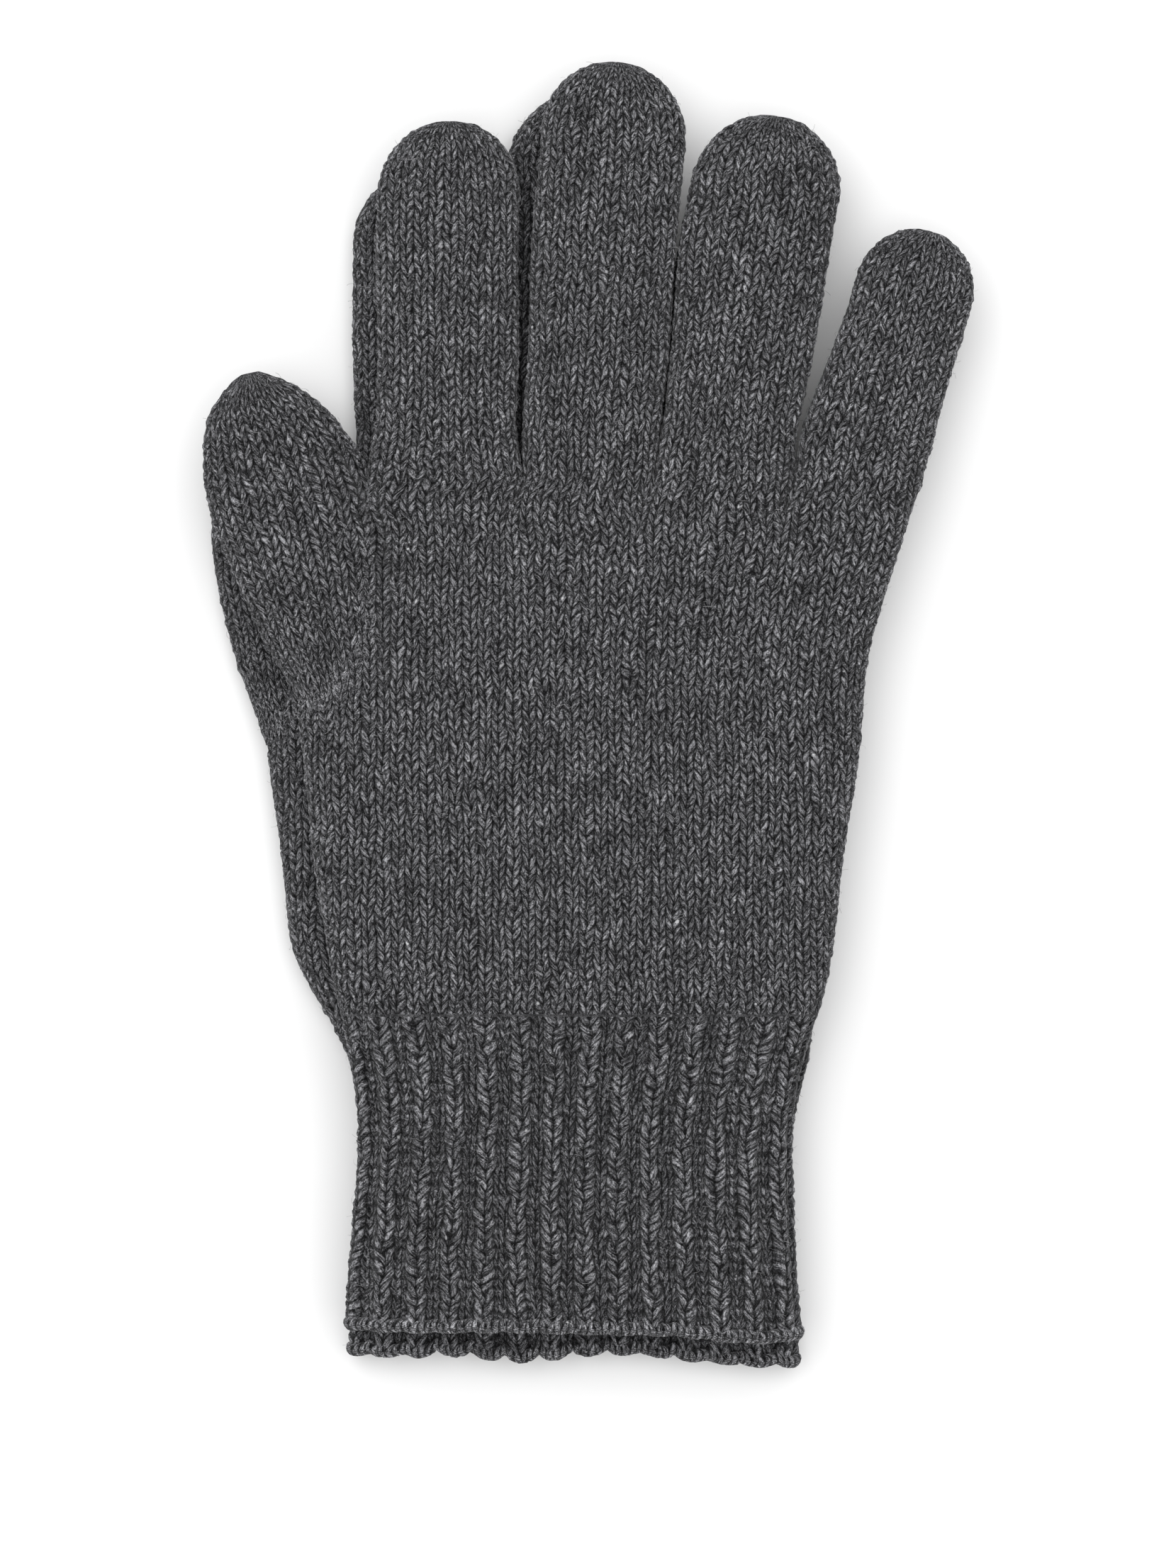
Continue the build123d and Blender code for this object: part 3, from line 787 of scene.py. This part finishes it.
def make_finger(glove, name, offset):
    """One finger, in two pieces that meet below its middle fold."""
    path = glove.finger_path(name)
    half = glove.fingers[name][6]
    distance, width, depth = tip_rows(path[2][-1], half * 1.05, glove.step)
    rings = np.array([glove.finger_ring(name, d, w, t, path) for d, w, t in zip(distance, width, depth)])
    rings = glove.place(rings)
    near, far = finger_wales(glove, name, offset)
    near, far = np.tile(near, (len(rings), 1)), np.tile(far, (len(rings), 1))
    courses = course_rows(rings, ROOT_COURSE, glove.rows)
    relief = np.ones(rings.shape[:2]) * np.clip(width * 2.2, 0, 1)[:, None]
    root = JOINTS[f"{glove.name}_{name}_root_bend"]
    middle = JOINTS[f"{glove.name}_{name}_middle_bend"]
    reach = 9.0 * MM if name == "little" else 12.0 * MM
    seam_y = middle.y - 4.9 * MM
    seam = int(np.argmin(np.abs(rings[:, :, 1].mean(1) - seam_y)))
    parts = {
        "lower": (slice(0, seam + 1), f"{glove.name}_hand", root.y - 1 * MM, root.y + 12 * MM),
        "tip": (slice(seam, None), f"{glove.name}_{name}_lower", middle.y - 1 * MM, middle.y + reach),
    }
    for label, (rows, parent, low, high) in parts.items():
        node = f"{glove.name}_{name}_{label}"
        piece = knitted_mesh(f"{node}_knit", rings[rows], near[rows], courses[rows], relief[rows],
                             beyond=far[rows])
        knit(piece, "charcoal_knit", [node])
        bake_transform(piece)


def make_thumb(glove):
    """The thumb, which starts inside the side of the hand."""
    stations = np.array(glove.thumb, float)
    run = run_along(*stations[:, :2].T)
    distance = np.arange(0, run[-1], glove.step)
    wide = 2.5
    near = np.minimum(wide, np.minimum(distance, run[-1] - distance))
    rows = sum(np.stack([np.interp(distance + part * near, run, column) for column in stations.T], 1)
               for part in (-1, 0, 1)) / 3
    fractions = np.linspace(0, 1, THUMB_WALES * glove.columns + 1)
    rings = []
    for d, (x, y, half, lean) in zip(distance, rows):
        out = ease(d, 2, 18)
        end = np.clip((run[-1] - d) / 11, 0, 1)
        thick = glove.depth * (0.86 + 0.10 * out) * max(1 - (1 - end) ** 2.4, 0.15)
        across, up = roll(fractions, half, thick, glove.corner * min(1.1, half / 9))
        rings.append(loop((x, y), math.radians(lean), across, up, glove.up * (0.15 + 0.75 * out)))
    width = np.clip((run[-1] - distance) / 6, 0, 1)
    rings = glove.place(np.array(rings))
    wales = np.tile(np.linspace(0, 2 * THUMB_WALES, rings.shape[1] + 1), (len(rings), 1))
    courses = course_rows(rings, THUMB_COURSE, glove.rows)
    relief = np.ones(rings.shape[:2]) * np.clip(width * 2.2, 0, 1)[:, None]
    node = f"{glove.name}_thumb"
    piece = knitted_mesh(f"{node}_knit", rings, wales, courses, relief)
    knit(piece, "charcoal_knit", [node])
    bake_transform(piece)


def cuff_profile(glove):
    """Heights and inward steps of the cuff's rows: down the outside, round the edge and up the lining."""
    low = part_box(f"{glove.name}_hem")[0].y / MM - glove.wrist.y / MM + 1.0
    step = glove.course / 4
    top = round(9 / glove.step) * glove.step
    outside = np.arange(top, low, -step)
    edge = [(low - 0.35, 0.25), (low - 0.5, 0.75), (low - 0.35, 1.25)]
    lining = [(y, 1.5) for y in np.arange(low, 2, 3.0)]
    return outside, edge + lining


def cuff_ring(glove, y, inward, columns):
    """One ring of the cuff at a height, stepped inwards from its outside."""
    left, right = folds(CUFF_LEFT, y), folds(CUFF_RIGHT, y)
    fractions = np.linspace(0, 1, columns + 1)
    across, up = roll(fractions, (right - left) / 2 - inward, glove.depth - inward, glove.corner - inward)
    return loop(((left + right) / 2, y), 0.0, across, up, 0.0)


def hem_drop(glove, x, y, low):
    """How far the cuff's lower rows hang below a straight edge."""
    period = (x + 44) / 88 * RIB_PERIODS
    size = 0.2 if glove.name == "top" else 0.6 + 0.3 * chance(x, 0 * x, 6.0, 9)
    scallop = size * (2 * np.abs(np.cos(math.pi * (period - KNIT_SHARE / 2))) ** 0.6 - 1)
    wave = folds(HEM_WAVES[glove.name], x)
    return scallop * (1 - ease(y, low, low + 5)) + wave * (1 - ease(y, low, low + 16))


def rib_marks(columns):
    """Rib period and wale number at each column round a cuff."""
    period = np.linspace(0, 2 * RIB_PERIODS, 2 * columns + 1)
    part = period % 1.0
    knit_part = part < KNIT_SHARE - 1e-9
    wale = np.where(knit_part, part / KNIT_SHARE, 1 + (part - KNIT_SHARE) / (1 - KNIT_SHARE))
    return period, 2 * np.floor(period) + wale


def make_cuff(glove):
    """The ribbed cuff with its lining, open at the bottom."""
    columns = RIB_PERIODS * RIB_COLUMNS
    outside, inner = cuff_profile(glove)
    # the top of the cuff slips a little way inside the end of the hand
    tuck = [(outside[0] + 1.2, 0.3), (outside[0] + 0.6, 0.14)]
    heights = tuck + [(y, 0.0) for y in outside] + list(inner)
    rings = np.array([cuff_ring(glove, y, inward, columns) for y, inward in heights])
    period, rib_wale = rib_marks(columns)
    count = len(tuck) + len(outside)
    rings[:, :, 1] -= hem_drop(glove, rings[:, :, 0], rings[:, :, 1], outside[-1])
    rings = glove.place(rings)
    # plain stitches fade out and ribs fade in below the wrist
    y = np.array([h for h, _ in heights])
    ribbing = np.where(np.arange(len(y)) < count, 1 - ease(y, -4, 8), 0.6)
    near, far = np.tile(rib_wale[:-1], (len(y), 1)), np.tile(rib_wale[1:], (len(y), 1))
    far = np.where(far < near, np.floor(near) + 1, far)
    for row in np.flatnonzero(ribbing < 0.5):
        left, right = folds(CUFF_LEFT, y[row]), folds(CUFF_RIGHT, y[row])
        across, up = roll(np.linspace(0, 1, columns + 1), (right - left) / 2, glove.depth, glove.corner)
        run = run_along(across, up)
        near[row], far[row] = upright(run + (left + right) / 2 - run[-1] / 2)
    courses = np.tile((y / glove.course)[:, None], (1, 2 * columns + 1))
    relief = np.where(np.arange(len(y)) < count, 1.0, 0.55)[:, None] * np.ones(rings.shape[:2])
    ribs = np.tile(period[:-1], (len(y), 1))
    name = f"{glove.name}_cuff"
    piece = knitted_mesh(f"{name}_ribs", rings, near, courses, relief, ribs,
                         ribbing[:, None] * np.ones(rings.shape[:2]), beyond=far)
    knit(piece, "charcoal_rib", [name])
    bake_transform(piece)


def make_hem(glove):
    """The cast-on edge: a rounded, slightly wavy welt with one loop over every stitch."""
    columns = RIB_PERIODS * RIB_COLUMNS
    outside, _ = cuff_profile(glove)
    low = outside[-1]
    period, _ = rib_marks(columns)
    loops = 0.5 + 0.5 * np.abs(np.sin(math.pi * period[:-1] * HEM_LOOPS))
    turns = np.linspace(0, 2 * math.pi, 12, endpoint=False)
    rings = []
    for turn in turns:
        ring = cuff_ring(glove, low, 0.75 - 1.0 * math.cos(turn), columns)
        ring[:, 1] += 0.2 + 1.2 * math.sin(turn) - hem_drop(glove, ring[:, 0], low, low) - 0.18 * loops
        rings.append(ring)
    rings = glove.place(np.array(rings))
    wales = np.tile(period * HEM_LOOPS, (len(turns), 1))
    courses = np.tile((np.arange(len(turns)) / len(turns) * 2)[:, None], (1, 2 * columns + 1))
    relief = np.full(rings.shape[:2], 0.5)
    name = f"{glove.name}_hem"
    piece = knitted_mesh(f"{name}_welt", rings, wales, courses, relief, torus=True)
    # painted highlight: the cast-on edge is knitted in a lighter copy of the same wool, for the light caught
    # along its rolled edge
    knit(piece, "charcoal_rib", [name], fibres=0.5, painted_highlight_copy="cast_on_edge")
    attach(piece, f"{glove.name}_cuff")


class GLOVES_OT_hands(bpy.types.Operator):
    """Knit the palms and backs of both gloves."""

    bl_idname = "gloves.hands"
    bl_label = "Knit Hands"

    def execute(self, context):
        for glove in both_gloves():
            make_hand(glove)
        return {"FINISHED"}


class GLOVES_OT_fingers(bpy.types.Operator):
    """Knit the four fingers of both gloves."""

    bl_idname = "gloves.fingers"
    bl_label = "Knit Fingers"

    def execute(self, context):
        for glove in both_gloves():
            offsets = hand_rings(glove)[-1]
            for name in FINGER_WALES:
                make_finger(glove, name, offsets[name])
        return {"FINISHED"}


class GLOVES_OT_thumbs(bpy.types.Operator):
    """Knit the thumbs of both gloves."""

    bl_idname = "gloves.thumbs"
    bl_label = "Knit Thumbs"

    def execute(self, context):
        for glove in both_gloves():
            make_thumb(glove)
        return {"FINISHED"}


class GLOVES_OT_cuffs(bpy.types.Operator):
    """Knit the ribbed cuffs of both gloves."""

    bl_idname = "gloves.cuffs"
    bl_label = "Knit Cuffs"

    def execute(self, context):
        for glove in both_gloves():
            make_cuff(glove)
        return {"FINISHED"}


class GLOVES_OT_hems(bpy.types.Operator):
    """Knit the cast-on edges of both gloves."""

    bl_idname = "gloves.hems"
    bl_label = "Knit Hems"

    def execute(self, context):
        for glove in both_gloves():
            make_hem(glove)
        return {"FINISHED"}


class GLOVES_OT_stage(bpy.types.Operator):
    """Lay out the pale table, the soft light and the camera."""

    bl_idname = "gloves.stage"
    bl_label = "Set Stage"

    def execute(self, context):
        scene = context.scene
        mesh = bpy.data.meshes.new("table")
        size = 3.0
        mesh.from_pydata([(-size, -size, 0), (size, -size, 0), (size, size, 0), (-size, size, 0)], [],
                         [(0, 1, 2, 3)])
        table = bpy.data.objects.new("table", mesh)
        scene.collection.objects.link(table)
        paper = bpy.data.materials.new("matt_white_paper")
        paper.use_nodes = True
        paint = paper.node_tree.nodes["Principled BSDF"]
        paint.inputs["Base Color"].default_value = hex_colour("#f4f4f4")
        paint.inputs["Roughness"].default_value = 0.9
        paint.inputs["Specular IOR Level"].default_value = 0.1
        mesh.materials.append(paper)
        lamps = {"overhead": ((0.0, 0.25, 1.3), 1.5, 11.0), "window": ((-0.5, 0.5, 1.2), 0.8, 2.0)}
        for name, (place, width, power) in lamps.items():
            light = bpy.data.lights.new(name, "AREA")
            light.size = width
            light.energy = power
            lamp = bpy.data.objects.new(name, light)
            lamp.location = place
            lamp.rotation_mode = "QUATERNION"
            lamp.rotation_quaternion = (-Vector(place)).to_track_quat("-Z", "Y")
            scene.collection.objects.link(lamp)
        world = bpy.data.worlds.new("studio")
        world.use_nodes = True
        world.node_tree.nodes["Background"].inputs[0].default_value = (1, 1, 1, 1)
        world.node_tree.nodes["Background"].inputs[1].default_value = 0.8
        scene.world = world
        scene.view_settings.view_transform = "Standard"
        low, high = CAD_BOX
        lens = bpy.data.cameras.new("overhead")
        lens.lens = 100.0
        lens.sensor_width = 36.0
        camera = bpy.data.objects.new("overhead", lens)
        frame_height = 0.2876
        above = frame_height * lens.lens / lens.sensor_width
        # the pair lies a little off the middle of the frame
        aside, down = 0.0009, -0.0136
        camera.location = ((low.x + high.x) / 2 + aside, (low.y + high.y) / 2 + down, high.z + above)
        scene.collection.objects.link(camera)
        scene.camera = camera
        return {"FINISHED"}


class GLOVES_PT_panel(bpy.types.Panel):
    """Sizes, colours and steps of the gloves."""

    bl_label = "Knitted Gloves"
    bl_idname = "GLOVES_PT_panel"
    bl_space_type = "VIEW_3D"
    bl_region_type = "UI"
    bl_category = "Gloves"

    def draw(self, context):
        layout = self.layout
        for group in (context.scene.knit_sizes, context.scene.fibre_sizes, context.scene.wool_colours):
            box = layout.box()
            for name in group.bl_rna.properties.keys():
                if name not in ("rna_type", "name"):
                    box.prop(group, name)
        for operator in OPERATORS:
            layout.operator(operator.bl_idname)


OPERATORS = (GLOVES_OT_stage, GLOVES_OT_hands, GLOVES_OT_fingers, GLOVES_OT_thumbs, GLOVES_OT_cuffs,
             GLOVES_OT_hems)
GROUPS = {"knit_sizes": KnitSizes, "fibre_sizes": FibreSizes, "wool_colours": WoolColours}


def register():
    """Adds the settings, the operators and the panel to Blender."""
    for group in GROUPS.values():
        bpy.utils.register_class(group)
    for name, group in GROUPS.items():
        setattr(bpy.types.Scene, name, PointerProperty(type=group))
    for operator in OPERATORS:
        bpy.utils.register_class(operator)
    bpy.utils.register_class(GLOVES_PT_panel)


def unregister():
    """Takes the panel, the operators and the settings away again."""
    bpy.utils.unregister_class(GLOVES_PT_panel)
    for operator in OPERATORS:
        bpy.utils.unregister_class(operator)
    for name, group in GROUPS.items():
        delattr(bpy.types.Scene, name)
        bpy.utils.unregister_class(group)


def main():
    """Builds the pair on its stage."""
    register()
    bpy.ops.gloves.stage()
    bpy.ops.gloves.hands()
    bpy.ops.gloves.fingers()
    bpy.ops.gloves.thumbs()
    bpy.ops.gloves.cuffs()
    bpy.ops.gloves.hems()


if __name__ == "__main__":
    main()
